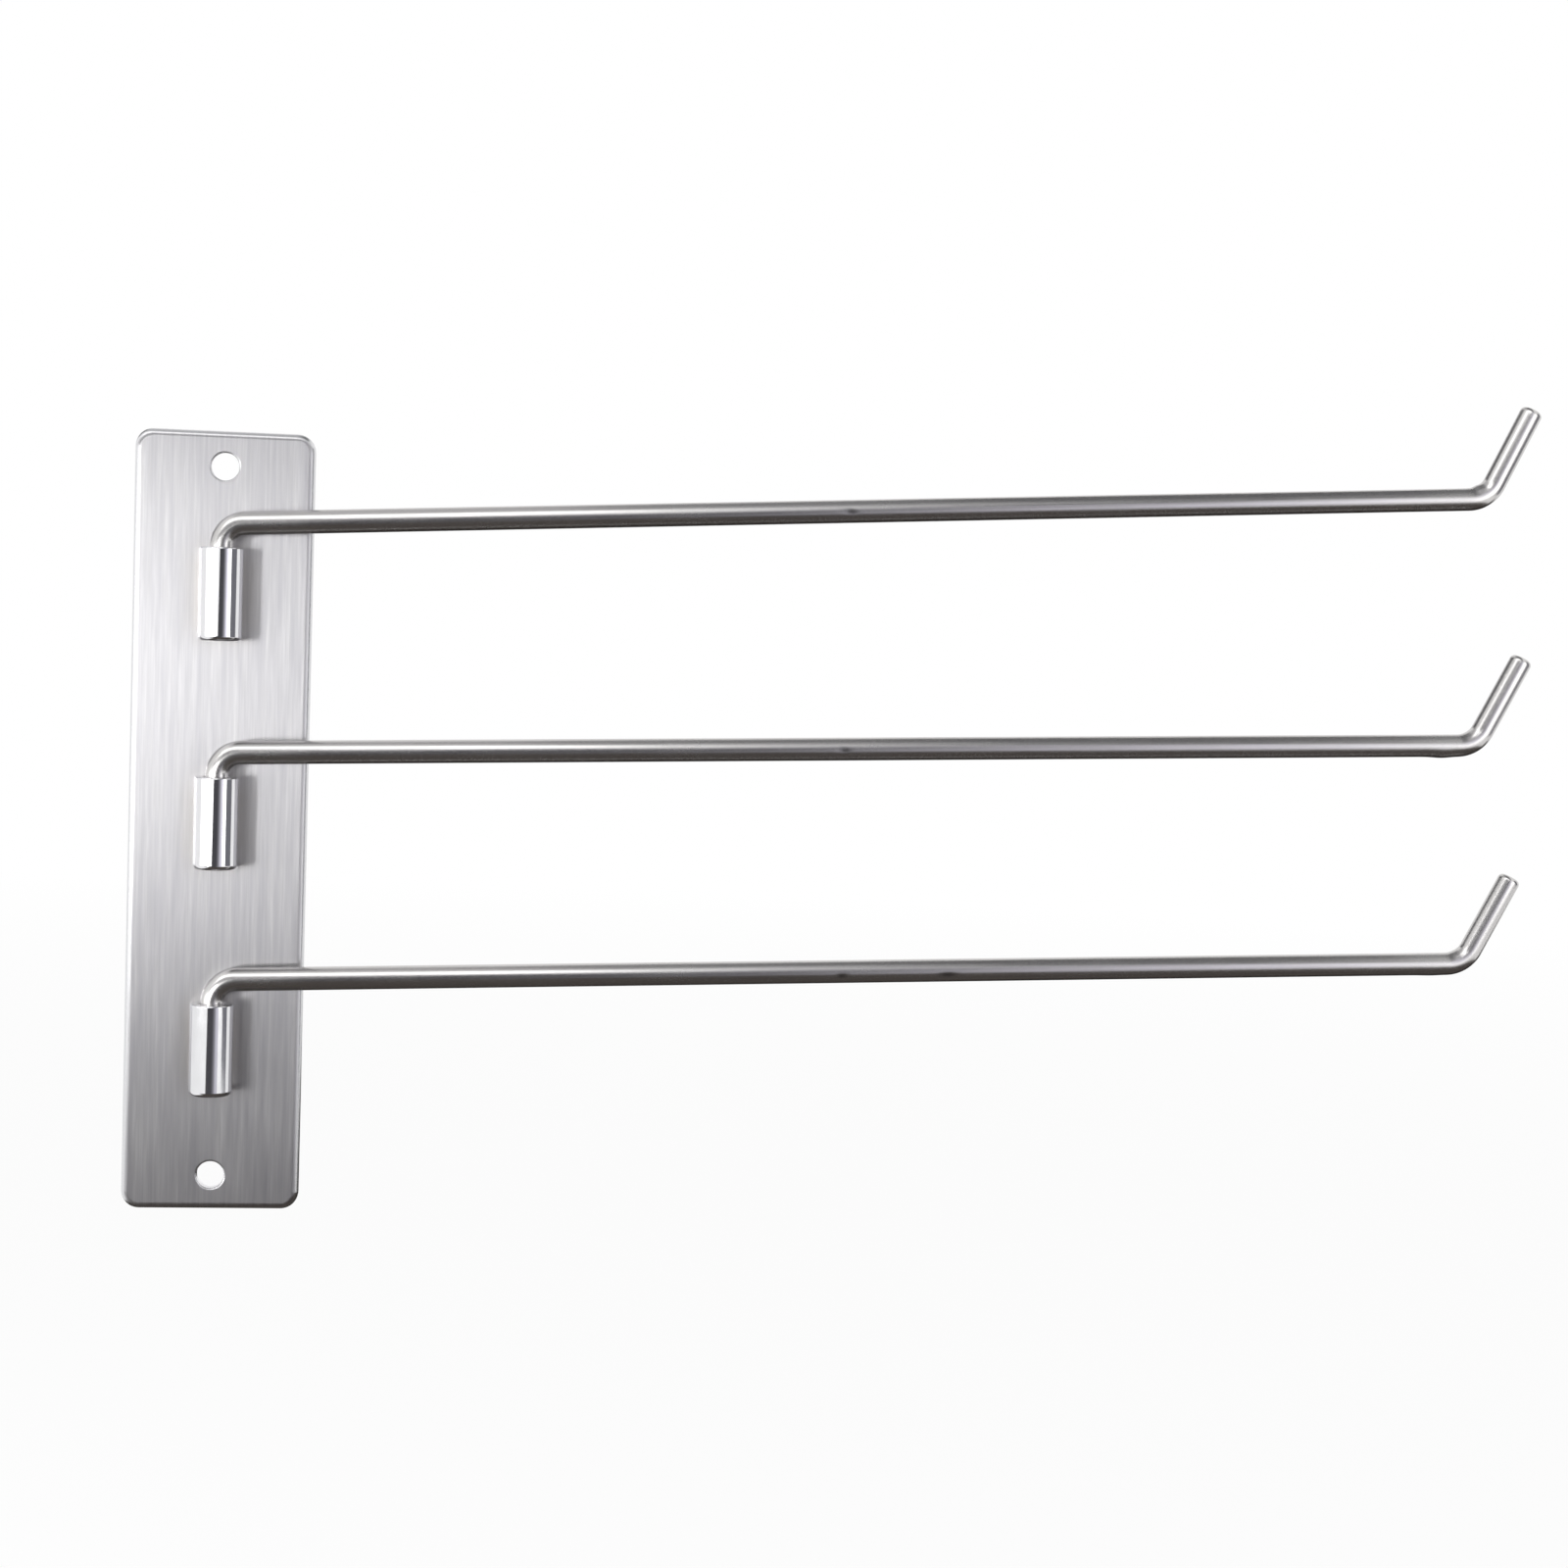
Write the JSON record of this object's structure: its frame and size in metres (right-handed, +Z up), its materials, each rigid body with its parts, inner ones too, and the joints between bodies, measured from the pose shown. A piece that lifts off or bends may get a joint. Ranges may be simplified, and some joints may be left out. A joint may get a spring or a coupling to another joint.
{
  "type": "swing arm towel bar",
  "caption": "Wall-mounted swing arm towel bar: upright sleeves on a brushed steel plate each hold a bent steel arm with an upturned tip, which swings out from the wall.",
  "frame": {"origin": "centre of the plate's back face, on the wall, midway between the two screw holes", "axes": "+X along the plate's width and along the arms at rest, +Y into the wall, +Z up along the plate's height"},
  "size_m": [0.3689, 0.014, 0.2213],
  "materials": {
    "brushed_plate": "stainless steel, brushed along the plate's height",
    "polished_sleeve": "stainless steel, turned and polished to a mirror",
    "weld_bead": "weld metal, left as laid",
    "satin_bar": "stainless steel bar, drawn and satin polished"
  },
  "bodies": {
    "wall_mount": {"back_plate": "brushed_plate", "sleeve_top": "polished_sleeve", "sleeve_middle": "polished_sleeve", "sleeve_bottom": "polished_sleeve", "weld_top": "weld_bead", "weld_middle": "weld_bead", "weld_bottom": "weld_bead"},
    "top_arm": {"arm_top": "satin_bar"},
    "middle_arm": {"arm_middle": "satin_bar"},
    "bottom_arm": {"arm_bottom": "satin_bar"}
  },
  "joints": [
    {"name": "top_swing", "type": "hinge", "parent": "wall_mount", "child": "top_arm", "pos_m": [0, -0.0085, 0.0588], "axis": [0, 0, -1], "range_deg": [0, 180]},
    {"name": "middle_swing", "type": "hinge", "parent": "wall_mount", "child": "middle_arm", "pos_m": [0, -0.0085, 0.0008], "axis": [0, 0, -1], "range_deg": [0, 180]},
    {"name": "bottom_swing", "type": "hinge", "parent": "wall_mount", "child": "bottom_arm", "pos_m": [0, -0.0085, -0.0572], "axis": [0, 0, -1], "range_deg": [0, 180]}
  ]
}
